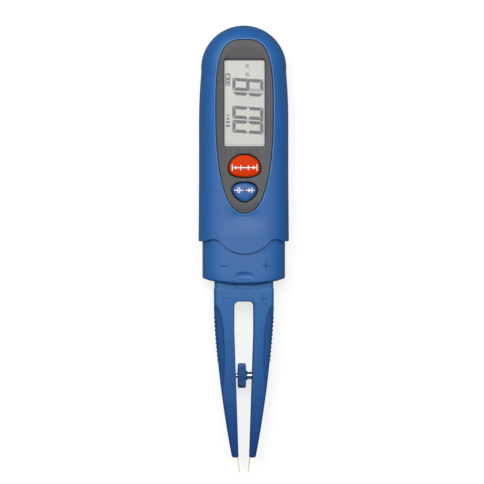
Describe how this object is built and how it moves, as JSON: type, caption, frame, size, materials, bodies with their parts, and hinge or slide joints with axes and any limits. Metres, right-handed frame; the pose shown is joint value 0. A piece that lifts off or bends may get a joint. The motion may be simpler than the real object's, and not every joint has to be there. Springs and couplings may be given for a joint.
{
  "type": "component tester",
  "caption": "Palm-sized electronic component tester with a display, two keys and plug-in sprung plastic tweezers ending in gold probes.",
  "frame": {"origin": "middle of the whole length and width, on the surface that the back lies on", "axes": "+Y along the tester toward the display end, +Z out of the display, +X to the right when the display end points up"},
  "size_m": [0.0362, 0.1788, 0.02],
  "materials": {
    "case_blue": "fine satin moulding",
    "sleeve_blue": "fine satin moulding",
    "head_blue": "fine satin moulding",
    "grip_blue": "soft matt grip",
    "fascia_grey": "satin",
    "clear_window": "clear polished",
    "lcd_glass": "reflective liquid crystal",
    "holder_white": "plain",
    "zebra_rubber": "soft",
    "board_green": "solder mask",
    "chip_black": "moulded",
    "key_red": "smooth",
    "key_blue": "smooth",
    "switch_black": "moulded",
    "cell_steel": "brushed",
    "holder_black": "moulded",
    "contact_gold": "gold plated",
    "screw_steel": "zinc plated",
    "lead_red": "wire insulation",
    "lead_black": "wire insulation",
    "insert_brass": "turned",
    "wheel_blue": "knurled moulding",
    "shank_steel": "turned"
  },
  "bodies": {
    "case": {"front_shell": "case_blue", "rear_shell": "case_blue", "socket_sleeve": "sleeve_blue", "fascia_panel": "fascia_grey", "display_window": "clear_window", "lcd_glass": "lcd_glass", "lcd_holder": "holder_white", "zebra_strips": "zebra_rubber", "main_board": "board_green", "board_chips": "chip_black", "switch_housings": "switch_black", "coin_cell": "cell_steel", "cell_holder": "holder_black", "cell_contact_top": "contact_gold", "cell_contact_side": "contact_gold", "case_screws": "screw_steel", "buzzer": "chip_black", "left_socket": "contact_gold", "right_socket": "contact_gold"},
    "range_key": {"range_button": "key_red", "range_plunger": "switch_black"},
    "func_key": {"func_button": "key_blue", "func_plunger": "switch_black"},
    "cover": {"battery_cover": "case_blue"},
    "head": {"tweezer_base": "head_blue", "left_pin": "contact_gold", "right_pin": "contact_gold"},
    "left_limb": {"left_arm": "head_blue", "left_grip": "grip_blue", "left_probe": "contact_gold", "left_lead": "lead_black"},
    "right_limb": {"right_arm": "head_blue", "right_grip": "grip_blue", "right_probe": "contact_gold", "right_lead": "lead_red", "threaded_insert": "insert_brass"},
    "wheel_carriage": {"thrust_washer": "wheel_blue"},
    "wheel": {"adjusting_wheel": "wheel_blue", "adjusting_screw": "shank_steel"}
  },
  "joints": [
    {"name": "range_press", "type": "slide", "parent": "case", "child": "range_key", "axis": [0, 0, -1], "range_m": [0, 0.0005], "stiffness_N_per_m": 200},
    {"name": "func_press", "type": "slide", "parent": "case", "child": "func_key", "axis": [0, 0, -1], "range_m": [0, 0.0005], "stiffness_N_per_m": 200},
    {"name": "cover_turn", "type": "hinge", "parent": "case", "child": "cover", "pos_m": [0, 0.026, 0.001], "axis": [0, 0, 1], "range_deg": [0, 50]},
    {"name": "head_unplug", "type": "slide", "parent": "case", "child": "head", "axis": [0, -1, 0], "range_m": [0, 0.014]},
    {"name": "left_arm_squeeze", "type": "hinge", "parent": "head", "child": "left_limb", "pos_m": [-0.0079, -0.028, 0.01], "axis": [0, 0, 1], "range_deg": [0, 1.2], "stiffness_Nm_per_rad": 1.5},
    {"name": "right_arm_squeeze", "type": "hinge", "parent": "head", "child": "right_limb", "pos_m": [0.0079, -0.028, 0.01], "axis": [0, 0, -1], "range_deg": [0, 1.2], "stiffness_Nm_per_rad": 1.5},
    {"name": "wheel_travel", "type": "slide", "parent": "right_limb", "child": "wheel_carriage", "axis": [1, 0, 0], "range_m": [0, 0.00175]},
    {"name": "wheel_spin", "type": "hinge", "parent": "wheel_carriage", "child": "wheel", "pos_m": [0, -0.0506, 0.01], "axis": [1, 0, 0], "range_deg": [0, 1260]}
  ],
  "couplings": [
    {"joint": "wheel_spin", "follows": "wheel_travel", "rad_per_m": 12566}
  ]
}
